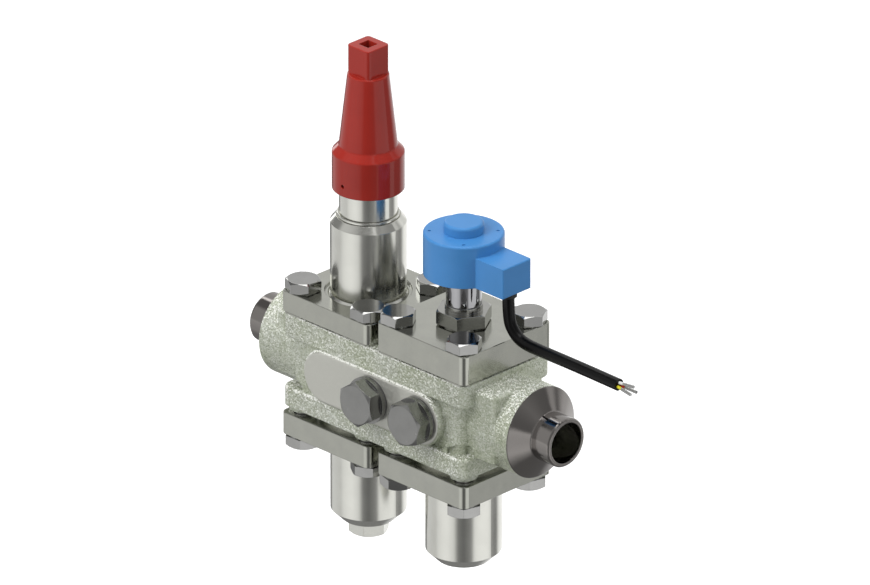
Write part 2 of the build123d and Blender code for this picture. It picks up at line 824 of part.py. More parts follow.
def port_plug(x, turn):
    """A hexagon plug with a round collar, screwed into a port of the front pad."""
    seat = plug_washer
    collar = disc(plug_collar_r, seat, seat + plug_collar)
    head = hex_head(plug_flats, seat + plug_collar, seat + plug_collar + plug_hex, turn=turn)
    plug = collar + head + disc(port_r - press_gap, -plug_thread, seat)
    return Pos(x, pad_face, 0) * Rot(X=90) * plug


def port_plug_washer_at(x):
    washer = ring(plug_collar_r - 0.5, port_r, 0, plug_washer)
    return Pos(x, pad_face, 0) * Rot(X=90) * washer


port_axes = (face_to_face / 2, x_solenoid)
plug_turns = (35, 17)
piston_spring_foot = piston_foot + piston_nose + 1
armature_top = armature_foot + armature_length
check_foot = check_seat_top - seat_ring - seat_gap - check_disc

nodes = {
    "body_casting": body_casting(),
    "stop_cover_plate": stop_cover_plate(),
    "stop_housing": stop_housing(),
    "stop_cover_gasket": face_gasket(x_stop, gasket_r, chamber_r, top_height, gasket_top),
    "stop_cover_bolts": bolt_set(x_stop, stop_cover_top, True, stop_bolt_turns),
    "stop_spindle": stop_spindle(),
    "stop_valve_cone": stop_valve_cone(),
    "stop_cone_seal": stop_cone_seal(),
    "stop_seat_bush": seat_bush(x_stop, stop_floor, lower_roof),
    "stop_packing": ring(packing_r, spindle_r + running_gap, packing_foot, gland_thread_foot, x_stop),
    "stop_packing_gland": stop_packing_gland(),
    "stop_cap": stop_cap(),
    "stop_cap_seal": ring(cap_seal_r, bonnet_r + 3 * running_gap, cap_foot, cap_foot + cap_seal, x_stop),
    "solenoid_cover": solenoid_cover(),
    "solenoid_gasket": face_gasket(x_solenoid, gasket_r, chamber_r, top_height, gasket_top),
    "solenoid_cover_bolts": bolt_set(x_solenoid, solenoid_cover_top, True, solenoid_bolt_turns),
    "solenoid_seat_bush": seat_bush(x_solenoid, solenoid_floor, check_seat_top),
    "servo_piston": servo_piston(),
    "piston_ring": piston_ring(),
    "piston_spring": coil_spring(
        x_solenoid, piston_spring_r, piston_wire_r, piston_spring_foot, cylinder_roof, 5),
    "armature_tube": armature_tube(),
    "armature_nut": armature_nut(),
    "armature": armature(),
    "armature_spring": coil_spring(
        x_solenoid, armature_spring_r, armature_wire_r, armature_top, armature_top + armature_spring, 6),
    "pilot_seat": pilot_seat(),
    "coil_housing": coil_housing(),
    "coil_bobbin": coil_bobbin(),
    "coil_winding": coil_winding(),
    "coil_yoke": coil_yoke(),
    "coil_lock_cap": coil_lock_cap(),
    "coil_oring": coil_oring(),
    "cable_grommet": cable_grommet(),
    "coil_cable": coil_cable(),
    "cable_core_red": cable_core(2),
    "cable_core_yellow": cable_core(1),
    "cable_core_white": cable_core(0),
    "strainer_barrel": lower_barrel(x_stop, drain_thread_r + press_gap),
    "strainer_cover_plate": lower_cover_plate(x_stop),
    "strainer_gasket": face_gasket(x_stop, raised_face_r, lower_chamber_r, raised_top, -bottom_depth),
    "strainer_cover_bolts": bolt_set(x_stop, cover_low, False, strainer_bolt_turns),
    "strainer_element": strainer_element(),
    "drain_plug": drain_plug(),
    "drain_plug_washer": drain_plug_washer(),
    "check_barrel": lower_barrel(x_solenoid, 0),
    "check_cover_plate": lower_cover_plate(x_solenoid),
    "check_gasket": face_gasket(x_solenoid, raised_face_r, lower_chamber_r, raised_top, -bottom_depth),
    "check_cover_bolts": bolt_set(x_solenoid, cover_low, False, check_bolt_turns),
    "check_cone": check_cone(),
    "check_cone_seal": check_cone_seal(),
    "check_seat_ring": check_seat_ring(),
    "check_guide": check_guide(),
    "check_spring": coil_spring(x_solenoid, check_spring_r, check_wire_r, -guide_top, check_foot, 5),
    "port_plugs": Compound(children=[port_plug(x, turn) for x, turn in zip(port_axes, plug_turns)]),
    "port_plug_washers": Compound(children=[port_plug_washer_at(x) for x in port_axes]),
}

for name, solid in nodes.items():
    export_step(solid, f"parts/{name}.step")
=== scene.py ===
"""Dresses the refrigeration valve station: finishes, casting, springs, coil lead and studio."""
import bmesh
import bpy
import json
from math import cos, pi, radians, sin
from mathutils import Matrix, Vector

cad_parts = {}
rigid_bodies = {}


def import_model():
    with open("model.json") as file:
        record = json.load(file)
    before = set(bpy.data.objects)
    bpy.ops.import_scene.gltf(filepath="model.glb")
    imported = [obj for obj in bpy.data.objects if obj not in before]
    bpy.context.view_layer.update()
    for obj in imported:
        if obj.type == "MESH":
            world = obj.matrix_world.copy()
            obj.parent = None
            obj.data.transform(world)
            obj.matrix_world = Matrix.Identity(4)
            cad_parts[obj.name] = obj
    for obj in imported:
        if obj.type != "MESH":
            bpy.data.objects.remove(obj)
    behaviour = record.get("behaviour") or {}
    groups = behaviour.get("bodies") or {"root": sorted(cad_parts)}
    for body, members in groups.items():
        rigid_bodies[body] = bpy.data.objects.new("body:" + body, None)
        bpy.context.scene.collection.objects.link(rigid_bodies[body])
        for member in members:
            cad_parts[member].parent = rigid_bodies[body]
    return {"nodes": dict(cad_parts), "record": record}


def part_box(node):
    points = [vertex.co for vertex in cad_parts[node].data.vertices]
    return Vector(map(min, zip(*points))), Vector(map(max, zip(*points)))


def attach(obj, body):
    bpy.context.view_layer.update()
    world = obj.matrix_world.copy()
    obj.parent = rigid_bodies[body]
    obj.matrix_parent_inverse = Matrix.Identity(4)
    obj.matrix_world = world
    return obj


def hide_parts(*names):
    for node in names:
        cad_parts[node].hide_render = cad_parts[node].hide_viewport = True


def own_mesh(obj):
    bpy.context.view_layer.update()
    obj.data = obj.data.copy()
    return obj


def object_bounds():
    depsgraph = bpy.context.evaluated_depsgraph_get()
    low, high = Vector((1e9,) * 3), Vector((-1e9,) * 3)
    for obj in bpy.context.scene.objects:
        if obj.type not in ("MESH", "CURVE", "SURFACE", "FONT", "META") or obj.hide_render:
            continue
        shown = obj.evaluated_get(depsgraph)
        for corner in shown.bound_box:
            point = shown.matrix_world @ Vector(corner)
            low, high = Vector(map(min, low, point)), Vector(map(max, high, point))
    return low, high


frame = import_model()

nodes = frame["nodes"]
cad_low, cad_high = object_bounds()
mm = 0.001

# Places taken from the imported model
pipe_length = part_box("body_casting")[1].x
pipe_middle = Vector((pipe_length / 2, 0, 0))
pad_face_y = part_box("body_casting")[0].y
cable_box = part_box("coil_cable")
coil_foot_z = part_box("coil_housing")[0].z

# Points closer than this are one point, and an edge that turns more than this looks sharp
touching = 0.001 * mm
sharp_degrees = 32

# Casting's finishes: bare turned weld ends and the milled skin of the front pad; the pad's rim gets a painted
# highlight
weld_end_length = 19.1 * mm
pad_skin = 0.3 * mm
rim_highlight_front = 1.2 * mm
rim_highlight_back = 2.6 * mm

# Outlet neck, which is cut back to its round between the flange's end and the web's end
neck_r = 25 * mm
flange_end = pipe_length / 2 + 67.6 * mm
web_end = pipe_length / 2 + 81.5 * mm
neck_step = 0.2 * mm
neck_cuts = range(10, 82, 3)

# Corner bolts' through holes and the floor that closes them
bolt_hole_r = 4.4 * mm
corner_bolt_x = 59 * mm
corner_bolt_y = 24 * mm
hole_foot_z = 15.7 * mm
hole_floor = 1.2 * mm

# Outlet end of the waist, whose pockets over the corner bolts are shallow
waist_corner = Vector((56.4, 24.5)) * mm
waist_corner_r = 6 * mm
pocket_depth = 1.5 * mm
pocket_low = 5 * mm
side_pocket_length = 8 * mm
end_pocket_length = 12 * mm
end_pocket_width = 10 * mm

# The lead: radius, where its cores are stripped, and its route from the coil's foot in mm
lead_r = 3.25 * mm
core_strip_x = cable_box[1].x + 3.2 * mm
lead_route = [(0, 0, 57.4), (4.0, 0, 50.6), (10.8, 0, 46.6), (26.0, 0.15, 46.4), (53.0, -0.15, 46.6),
              (80.5, 0, 46.0)]

# The casting's grains get a painted glint, more of them where its surface faces this way, towards the light
painted_glint_way = (-0.25, -0.35, 0.9)

# The photograph's view: level turn, height and the width that the frame takes in
camera_azimuth = 45.0
camera_elevation = 25.0
view_width = 0.451
view_centre = Vector((0.1239, 0.0, 0.0543))
camera_lens = 1100.0
sensor_width = 36.0

# The floor lies this far below the part, and reaches and glows this much
floor_drop = 0.16
floor_reach = 40
floor_glow = 0.3

# Surround: its light on the eye and on matt faces, and what gloss sees of it, low and high
surround_light = 0.56
low_light = 1.45
high_light = 3.2

# Grey from 0 to 255 by level angle in degrees, 0 towards -Y and 90 towards +X
low_greys = [(-180, 223), (-139, 223), (-132, 104), (-106, 104), (-97, 192), (-48, 182), (-38, 205),
             (-19, 216), (-5, 218), (15, 200), (27, 112), (45, 92), (69, 124), (78, 214), (95, 222),
             (128, 222), (139, 130), (160, 112), (172, 205), (180, 223)]
high_greys = [(-180, 137), (-118, 137), (-112, 235), (-106, 235), (-100, 80), (-62, 80), (-52, 125),
              (-32, 122), (-11, 114), (5, 99), (15, 80), (45, 80), (62, 98), (67, 150), (72, 150),
              (77, 82), (84, 82), (101, 100), (122, 84), (139, 80), (144, 132), (149, 132), (156, 84),
              (168, 150), (180, 137)]

# How steeply a direction points up where one part of the surround passes into the next
low_to_high = (-0.17, -0.05)
high_to_top = (0.95, 0.97)
low_to_foot = (-0.6, -0.8)


def link_object(piece):
    bpy.context.scene.collection.objects.link(piece)
    return piece


def aim(piece, azimuth, elevation, distance):
    """Stands a camera or lamp at that angle and distance, turned to the middle of the view."""
    a = radians(azimuth)
    e = radians(elevation)
    back = Vector((sin(a) * cos(e), -cos(a) * cos(e), sin(e)))
    piece.location = view_centre + back * distance
    piece.rotation_mode = "QUATERNION"
    piece.rotation_quaternion = (-back).to_track_quat("-Z", "Y")


def make_camera():
    """A very long lens, because the photograph's edges run parallel."""
    data = bpy.data.cameras.new("camera")
    data.lens = camera_lens
    data.sensor_width = sensor_width
    distance = view_width * camera_lens / sensor_width
    data.clip_start = distance / 10
    data.clip_end = distance * 2
    camera = link_object(bpy.data.objects.new("camera", data))
    aim(camera, camera_azimuth, camera_elevation, distance)
    bpy.context.scene.camera = camera


def make_lamp(name, azimuth, elevation, distance, width, height, power):
    """A white soft box that models the matt finishes. Gloss sees the surround in its place."""
    data = bpy.data.lights.new(name, "AREA")
    data.shape = "RECTANGLE"
    data.size = width
    data.size_y = height
    data.energy = power
    lamp = link_object(bpy.data.objects.new(name, data))
    aim(lamp, azimuth, elevation, distance)
    lamp.visible_glossy = False


def srgb(code):
    """Linear colour of an sRGB hex value."""
    parts = [int(code[i:i + 2], 16) / 255 for i in (1, 3, 5)]
    linear = [c / 12.92 if c <= 0.04045 else ((c + 0.055) / 1.055) ** 2.4 for c in parts]
    return (*linear, 1.0)


def node(tree, kind, links=None, stops=(), **settings):
    """Adds a shader node. Links map an input's name to a value or another node's output, and
    stops are a colour ramp's positions with their hex colours."""
    made = tree.nodes.new(kind)
    for name, value in settings.items():
        setattr(made, name, value)
    for name, value in (links or {}).items():
        socket = made.inputs[name]
        if isinstance(value, bpy.types.NodeSocket):
            tree.links.new(value, socket)
        else:
            socket.default_value = value
    if stops:
        marks = made.color_ramp.elements
        while len(marks) < len(stops):
            marks.new(0.5)
        for mark, (position, code) in zip(marks, stops):
            mark.position = position
            mark.color = srgb(code)
    return made


def new_material(name):
    """A material with its shader and the piece's own coordinates, in metres."""
    material = bpy.data.materials.new(name)
    material.use_nodes = True
    tree = material.node_tree
    shader = tree.nodes["Principled BSDF"]
    place = node(tree, "ShaderNodeTexCoord").outputs["Object"]
    return material, tree, shader, place


def feed(tree, shader, links):
    """Links sockets of the shader to what drives them."""
    for socket, value in links.items():
        tree.links.new(value, shader.inputs[socket])


def per_mm(size):
    """A texture's scale whose features are about that many millimetres."""
    return 1 / (size * mm)


def worked_surface(tree, height, depth, strength, edge):
    """Normal of a surface whose texture stands that deep and whose edges are deburred to that
    radius, both in millimetres, so that the edges catch light."""
    round_edge = node(tree, "ShaderNodeBevel", {"Radius": edge * mm}, samples=6).outputs["Normal"]
    return node(tree, "ShaderNodeBump", {"Height": height, "Distance": depth * mm, "Strength": strength,
                "Normal": round_edge}).outputs["Normal"]


def zinc_casting():
    """Yellow passivated zinc over a shot-blasted sand casting: pale grey with a hint of green and grainy.
    Grains that face up and forward, towards the light, and grains on the pad's rim get a painted
    glint: their colour turns near white. The weld ends beyond the neck are bare turned steel, and the
    front pad is milled. The grains are drawn coarse, so that they show."""
    material, tree, shader, place = new_material("yellow_zinc_sand_casting")
    grain = node(tree, "ShaderNodeTexNoise", {"Vector": place, "Scale": per_mm(1.3),
                 "Detail": 4.0, "Roughness": 0.75}).outputs["Fac"]
    grains = node(tree, "ShaderNodeTexVoronoi", {"Vector": place, "Scale": per_mm(0.65)}).outputs["Color"]
    chance = node(tree, "ShaderNodeSeparateColor", {"Color": grains}).outputs["Red"]
    cloud = node(tree, "ShaderNodeTexNoise", {"Vector": place, "Scale": per_mm(18),
                 "Detail": 2.0, "Roughness": 0.5}).outputs["Fac"]
    tint = node(tree, "ShaderNodeValToRGB", {"Fac": chance},
                [(0.0, "#BABFAB"), (0.25, "#D5DAC8"), (0.6, "#E8EDDE"), (1.0, "#FBFEF3")]).outputs["Color"]
    patch = node(tree, "ShaderNodeValToRGB", {"Fac": cloud},
                 [(0.35, "#EAEDE0"), (0.65, "#FFFFFF")]).outputs["Color"]
    cast = node(tree, "ShaderNodeMix", {"Factor": 0.8, 6: tint, 7: patch},
                data_type="RGBA", blend_type="MULTIPLY").outputs[2]

    # Where the weld ends are bare and the pad is milled
    split = node(tree, "ShaderNodeSeparateXYZ", {"Vector": place})
    middle = node(tree, "ShaderNodeMath", {0: split.outputs["X"], 1: pipe_length / 2},
                  operation="SUBTRACT").outputs[0]
    reach = node(tree, "ShaderNodeMath", {0: middle}, operation="ABSOLUTE").outputs[0]
    turned_from = pipe_length / 2 - weld_end_length
    bare = node(tree, "ShaderNodeMath", {0: reach, 1: turned_from}, operation="GREATER_THAN").outputs[0]
    milled = node(tree, "ShaderNodeMath", {0: split.outputs["Y"], 1: pad_face_y + pad_skin},
                  operation="LESS_THAN").outputs[0]
    smooth = node(tree, "ShaderNodeMath", {0: bare, 1: milled}, operation="MAXIMUM").outputs[0]

    # Relief of the cast skin, next to nothing where it is machined
    depth = node(tree, "ShaderNodeMapRange", {"Value": smooth, "To Min": 1.0, "To Max": 0.01}).outputs[0]
    height = node(tree, "ShaderNodeMath", {0: grain, 1: depth}, operation="MULTIPLY").outputs[0]
    round_edge = node(tree, "ShaderNodeBevel", {"Radius": 1.1 * mm}, samples=6).outputs["Normal"]
    normal = node(tree, "ShaderNodeBump", {"Height": height, "Distance": 2.2 * mm, "Strength": 0.8,
                  "Normal": round_edge}).outputs["Normal"]

    # Painted glints: grains turn near white, most of them on the pad's rim and on faces that look the light's
    # way
    upward = node(tree, "ShaderNodeVectorMath", {0: round_edge, 1: painted_glint_way},
                  operation="DOT_PRODUCT").outputs["Value"]
    # Painted highlight on the pad's rim: more painted glints just behind the pad's face
    rim_highlight_weight = node(tree, "ShaderNodeMapRange", {"Value": split.outputs["Y"],
               "From Min": pad_face_y + rim_highlight_front, "From Max": pad_face_y + rim_highlight_back,
               "To Min": 1.2, "To Max": 0.6}).outputs[0]
    facing = node(tree, "ShaderNodeMath", {0: upward, 1: rim_highlight_weight}, operation="MULTIPLY").outputs[0]
    likely = node(tree, "ShaderNodeMath", {0: facing, 1: chance}, operation="ADD").outputs[0]
    painted_glint = node(tree, "ShaderNodeMapRange", {"Value": likely, "From Min": 1.1,
                 "From Max": 1.5}).outputs[0]

    with_painted_glints = node(tree, "ShaderNodeMix", {"Factor": painted_glint, 6: cast, 7: srgb("#FFFFFA")},
                  data_type="RGBA").outputs[2]
    with_pad = node(tree, "ShaderNodeMix", {"Factor": milled, 6: with_painted_glints, 7: srgb("#BCBCB4")},
                    data_type="RGBA").outputs[2]
    colour = node(tree, "ShaderNodeMix", {"Factor": bare, 6: with_pad, 7: srgb("#8B8784")},
                  data_type="RGBA").outputs[2]
    soft = node(tree, "ShaderNodeMapRange", {"Value": smooth, "To Min": 0.2, "To Max": 0.3}).outputs[0]
    rough = node(tree, "ShaderNodeMix", {0: bare, 2: soft, 3: 0.07}).outputs[0]
    # Painted glints are made less metallic, so that their painted white shows
    plated = node(tree, "ShaderNodeMapRange", {"Value": painted_glint, "To Min": 0.6, "To Max": 0.1}).outputs[0]
    metal = node(tree, "ShaderNodeMath", {0: plated, 1: bare}, operation="MAXIMUM").outputs[0]
    feed(tree, shader, {"Base Color": colour, "Roughness": rough, "Metallic": metal, "Normal": normal})
    return material


def plated_metal(name, colour, dark, roughness, grain_mm, depth, edge, metallic=1.0):
    """A plated or milled metal face with faint clouding and fine tool marks."""
    material, tree, shader, place = new_material(name)
    cloud = node(tree, "ShaderNodeTexNoise", {"Vector": place, "Scale": per_mm(9),
                 "Detail": 4.0, "Roughness": 0.55}).outputs["Fac"]
    tint = node(tree, "ShaderNodeValToRGB", {"Fac": cloud}, [(0.30, dark), (0.62, colour)]).outputs["Color"]
    marks = node(tree, "ShaderNodeTexNoise", {"Vector": place, "Scale": per_mm(grain_mm),
                 "Detail": 3.0}).outputs["Fac"]
    rough = node(tree, "ShaderNodeMapRange", {"Value": cloud, "To Min": roughness * 0.8,
                 "To Max": roughness * 1.25}).outputs[0]
    normal = worked_surface(tree, marks, depth, 0.5, edge)
    shader.inputs["Metallic"].default_value = metallic
    feed(tree, shader, {"Base Color": tint, "Roughness": rough, "Normal": normal})
    return material


def turned_metal(name, colour, dark, roughness, ring_mm, depth):
    """Lathe-turned metal: faint rings round the upright axis, and highlights that run across
    them. The tool's feed of about 0.2 mm is too fine to show, so the rings stand wider apart."""
    material, tree, shader, place = new_material(name)
    rings = node(tree, "ShaderNodeTexWave", {"Vector": place, "Scale": per_mm(ring_mm) * pi / 10,
                 "Distortion": 0.0}, wave_type="BANDS", bands_direction="Z").outputs["Fac"]
    cloud = node(tree, "ShaderNodeTexNoise", {"Vector": place, "Scale": per_mm(16),
                 "Detail": 3.0}).outputs["Fac"]
    tint = node(tree, "ShaderNodeValToRGB", {"Fac": cloud}, [(0.30, dark), (0.60, colour)]).outputs["Color"]
    rough = node(tree, "ShaderNodeMapRange", {"Value": cloud, "To Min": roughness * 0.8,
                 "To Max": roughness * 1.3}).outputs[0]
    normal = worked_surface(tree, rings, depth, 0.35, 0.3)
    round_way = node(tree, "ShaderNodeTangent", direction_type="RADIAL", axis="Z").outputs["Tangent"]
    shader.inputs["Anisotropic"].default_value = 0.5
    shader.inputs["Anisotropic Rotation"].default_value = 0.25
    shader.inputs["Metallic"].default_value = 1.0
    feed(tree, shader, {"Base Color": tint, "Roughness": rough, "Normal": normal, "Tangent": round_way})
    return material


def moulded_plastic(name, colour, dark, roughness, grain_mm, depth, edge, gloss=0.5):
    """Moulded plastic or rubber with the faint orange peel of its mould."""
    material, tree, shader, place = new_material(name)
    peel = node(tree, "ShaderNodeTexNoise", {"Vector": place, "Scale": per_mm(grain_mm),
                "Detail": 2.0}).outputs["Fac"]
    cloud = node(tree, "ShaderNodeTexNoise", {"Vector": place, "Scale": per_mm(25),
                 "Detail": 2.0}).outputs["Fac"]
    tint = node(tree, "ShaderNodeValToRGB", {"Fac": cloud}, [(0.35, dark), (0.65, colour)]).outputs["Color"]
    rough = node(tree, "ShaderNodeMapRange", {"Value": cloud, "To Min": roughness * 0.85,
                 "To Max": roughness * 1.15}).outputs[0]
    normal = worked_surface(tree, peel, depth, 0.4, edge)
    shader.inputs["Specular IOR Level"].default_value = gloss
    feed(tree, shader, {"Base Color": tint, "Roughness": rough, "Normal": normal})
    return material


def core_insulation(name, colour, dark):
    """Core of the lead: coloured PVC skin, stripped to its tinned copper wire at the free end."""
    material, tree, shader, place = new_material(name)
    along = node(tree, "ShaderNodeSeparateXYZ", {"Vector": place}).outputs["X"]
    bare = node(tree, "ShaderNodeMath", {0: along, 1: core_strip_x}, operation="GREATER_THAN").outputs[0]
    cloud = node(tree, "ShaderNodeTexNoise", {"Vector": place, "Scale": per_mm(2.0)}).outputs["Fac"]
    skin = node(tree, "ShaderNodeValToRGB", {"Fac": cloud}, [(0.35, dark), (0.65, colour)]).outputs["Color"]
    tint = node(tree, "ShaderNodeMix", {"Factor": bare, 6: skin, 7: srgb("#B4B4B2")},
                data_type="RGBA").outputs[2]
    rough = node(tree, "ShaderNodeMapRange", {"Value": bare, "To Min": 0.35, "To Max": 0.2}).outputs[0]
    feed(tree, shader, {"Base Color": tint, "Metallic": bare, "Roughness": rough})
    return material


# Finish of each slot. Numbers: roughness, grain or ring spacing, relief and edge radius in mm
finishes = {
    "zinc_casting": zinc_casting(),
    # Milled, then zinc plated: a near mirror with soft borders and a warm grey
    "zinc_cover": plated_metal("zinc_plated_milled_steel", "#B7B8AF", "#B1B2AA", 0.17, 0.5, 0.006, 0.2),
    # Forged heads under bright zinc: a sharper mirror, a little darker
    "zinc_bolt": plated_metal("bright_zinc_bolt_steel", "#ABABA9", "#A5A5A3", 0.1, 0.8, 0.003, 0.25),
    # Plugs worn by the spanner: satin and darker, with no clear mirror image
    "plug_steel": plated_metal("satin_plug_steel", "#959593", "#8F8F8D", 0.25, 0.8, 0.003, 0.25),
    # Barrels turned fine and plated: pale, with long upright streaks of light
    "turned_steel": turned_metal("fine_turned_steel", "#DEDED7", "#D6D6CF", 0.2, 5.0265, 0.001),
    # Polished tube: hard light and dark bands
    "armature_chrome": turned_metal("polished_stainless_tube", "#ADADAF", "#A4A4A6", 0.06, 5.0265, 0.001),
    # Phosphated and oiled nut: greyer than the cover that it stands on
    "dark_nut": plated_metal("phosphated_steel", "#B0B0AC", "#A8A8A4", 0.16, 0.8, 0.004, 0.3),
    # Glossy from the mould: deep red with narrow highlights
    "red_plastic": moulded_plastic("red_moulded_polyamide", "#93261D", "#8B231B", 0.1, 1.5, 0.004, 0.5, 0.32),
    # Satin from the mould: an even blue with wide, weak highlights
    "blue_plastic": moulded_plastic("blue_moulded_polyamide", "#427FBA", "#3E7AB2", 0.3, 1.2, 0.01, 0.4, 0.3),
    # Matt, just off black
    "black_rubber": moulded_plastic("black_nitrile_rubber", "#1C1C1C", "#121212", 0.55, 0.6, 0.03, 0.2),
    # Smooth extruded sheath: black with one soft line of light
    "cable_sheath": moulded_plastic("black_pvc_sheath", "#080808", "#050505", 0.26, 0.8, 0.01, 0.2, 0.2),
    "core_red": core_insulation("red_core_insulation", "#B82A22", "#A8241E"),
    "core_yellow": core_insulation("yellow_core_insulation", "#C9C02A", "#B8AE22"),
    "core_white": core_insulation("white_core_insulation", "#D0D0CE", "#C2C2C0"),
    # Pressed fibre: matt and dark
    "gasket_fibre": moulded_plastic("compressed_fibre_gasket", "#3E403D", "#2E302E", 0.7, 0.5, 0.05, 0.1),
    # Filled fluoroplastic: waxy off-white
    "seal_ptfe": moulded_plastic("filled_ptfe_seal", "#DAD8D0", "#CFCDC4", 0.5, 0.8, 0.01, 0.1),
    # Turned without plating: a darker, plainer grey
    "stainless": turned_metal("turned_stainless_steel", "#B8B8B6", "#A6A6A4", 0.24, 3.7699, 0.004),
    # Drawn wire: an even grey sheen
    "spring_steel": plated_metal("drawn_spring_wire", "#8E8E90", "#7A7A7C", 0.3, 0.4, 0.01, 0.1),
    # Woven wire: a broken, dull glitter
    "stainless_mesh": plated_metal("woven_stainless_mesh", "#9C9C98", "#80807C", 0.4, 0.3, 0.2, 0.1),
    # Turned brass: warm yellow
    "brass_bush": turned_metal("turned_brass", "#C9A860", "#B89650", 0.25, 3.7699, 0.004),
    # Soft washers: scuffed, cooler grey
    "aluminium_washer": plated_metal("soft_aluminium_washer", "#8E8E90", "#78787A", 0.35, 0.5, 0.02, 0.1),
    # Wound wire under varnish: copper red with a fine grain
    "copper_winding": plated_metal("enamelled_copper_winding", "#B5633C", "#8E4A2A", 0.3, 0.3, 0.2, 0.1, 0.9),
    # Glass-filled plastic: dull black
    "bobbin_plastic": moulded_plastic("glass_filled_bobbin", "#303030", "#262626", 0.5, 0.8, 0.02, 0.2),
    # Bare soft iron: dark and dull
    "yoke_iron": plated_metal("soft_iron_yoke", "#6C6C6E", "#58585A", 0.45, 0.8, 0.02, 0.2),
}

# The photograph shows the port plugs duller than the bolts, whose slot they share, and the drain
# plug paler than the covers, whose slot it shares
own_finish = {"port_plugs": "plug_steel", "drain_plug": "turned_steel"}


def dress_nodes():
    """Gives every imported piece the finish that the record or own_finish names for it."""
    for entry in frame["record"]["subparts"]:
        mesh = nodes[entry["node"]].data
        mesh.materials.clear()
        mesh.materials.append(finishes[own_finish.get(entry["node"], entry["material_slot"])])


def merged_shape(name):
    """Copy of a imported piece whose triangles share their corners."""
    shape = bmesh.new()
    shape.from_mesh(nodes[name].data)
    bmesh.ops.remove_doubles(shape, verts=shape.verts, dist=touching)
    return shape


def finish_piece(name, shape, slot, body, replaced):
    """Turns a bmesh into a named piece with its finish, body and the node it stands for. The
    copied normals no longer fit its faces, so it gets its own from its sharp edges."""
    mesh = bpy.data.meshes.new(name)
    shape.to_mesh(mesh)
    shape.free()
    if "custom_normal" in mesh.attributes:
        mesh.attributes.remove(mesh.attributes["custom_normal"])
    mesh.shade_smooth()
    mesh.set_sharp_from_angle(angle=radians(sharp_degrees))
    mesh.materials.append(finishes[slot])
    piece = link_object(bpy.data.objects.new(name, mesh))
    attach(piece, body)
    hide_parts(replaced)
    return piece


def in_far_corner(vert):
    """True on the web's upper far corner, outside the neck's round."""
    here = vert.co
    outside = here.yz.length > neck_r + touching
    return flange_end < here.x < web_end and here.y > 0 and here.z > 0 and outside


def cut_through(shape, faces, spot, way):
    """Cuts those faces along a plane, and keeps both sides."""
    edges = {edge for face in faces for edge in face.edges}
    verts = {vert for face in faces for vert in face.verts}
    bmesh.ops.bisect_plane(shape, geom=[*faces, *edges, *verts], dist=touching / 10, plane_co=spot,
                           plane_no=way)


def add_round(shape, spot, radius, depth):
    """Adds an upright closed cylinder, placed from the pipe's middle."""
    place = Matrix.Translation(pipe_middle + Vector(spot))
    bmesh.ops.create_cone(shape, cap_ends=True, segments=48, radius1=radius, radius2=radius, depth=depth,
                          matrix=place)


def add_block(shape, spot, size):
    """Adds a closed block, placed from the pipe's middle."""
    place = Matrix.Translation(pipe_middle + Vector(spot))
    bmesh.ops.create_cube(shape, size=1, matrix=place @ Matrix.Diagonal((*size, 1)))


def round_far_neck(shape):
    """Brings the web's far upper corner in to the outlet neck's round. The two upright cuts keep
    the flange's end where it is, and the cuts through the neck's axis give the corner's faces the
    vertices that follow the round."""
    for x in (flange_end, flange_end + neck_step):
        cut_through(shape, shape.faces, (x, 0, 0), (1, 0, 0))
    for degrees in neck_cuts:
        turn = radians(degrees)
        faces = [face for face in shape.faces if any(in_far_corner(vert) for vert in face.verts)]
        cut_through(shape, faces, (0, 0, 0), (0, -sin(turn), cos(turn)))
    for vert in shape.verts:
        if in_far_corner(vert) and vert.co.x > flange_end + neck_step / 2:
            vert.co.yz = vert.co.yz.normalized() * neck_r
    bmesh.ops.dissolve_degenerate(shape, dist=touching / 2, edges=shape.edges)


def close_corner_holes(shape, side, up):
    """Closes one corner's bolt holes with a shallow floor."""
    floor_z = up * (hole_foot_z - hole_floor / 2)
    for x in (-corner_bolt_x, corner_bolt_x):
        add_round(shape, (x, side * corner_bolt_y, floor_z), bolt_hole_r, hole_floor)


def fill_pocket(shape, side, up):
    """Fills the outlet's pocket at one corner of the waist, up to its shallow depth."""
    fill = hole_foot_z - pocket_low
    middle = up * (hole_foot_z - fill / 2)
    x, y = waist_corner
    add_round(shape, (x, side * y, middle), waist_corner_r - pocket_depth, fill)
    add_block(shape, (x - side_pocket_length / 2, side * (y - pocket_depth), middle),
              (side_pocket_length, 2 * waist_corner_r, fill))
    add_block(shape, (x + end_pocket_length / 2, side * (y - end_pocket_width / 2), middle),
              (end_pocket_length, end_pocket_width - 2 * pocket_depth, fill))


def make_casting():
    """The casting as the photograph shows it: the outlet neck is plain and round on its far
    upper side, and the corner bolts' holes and pockets are shallow."""
    shape = merged_shape("body_casting")
    round_far_neck(shape)
    for side in (-1, 1):
        for up in (-1, 1):
            close_corner_holes(shape, side, up)
            fill_pocket(shape, side, up)
    casting = finish_piece("casting_body", shape, "zinc_casting", "valve_body", "body_casting")
    flat = casting.modifiers.new("flat_faces", "WEIGHTED_NORMAL")
    flat.keep_sharp = True


def make_springs():
    """Gives each spring a piece of its own in spring steel, on its joint's parent body, in place of the
    imported one.
    """
    for joint in frame["record"]["behaviour"]["joints"]:
        for spring in joint.get("deforming_nodes", []):
            shape = merged_shape(spring["node"])
            coil = finish_piece("live_" + spring["node"], shape, "spring_steel", joint["parent"],
                                spring["node"])
            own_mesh(coil)


def lead_points():
    """The lead's route: down from the coil's box, a close bend, then away along the pipe."""
    start = cable_box[0].x + lead_r
    turns = [Vector((start + x * mm, y * mm, z * mm)) for x, y, z in lead_route]
    return [Vector((start, 0, coil_foot_z)), *turns]


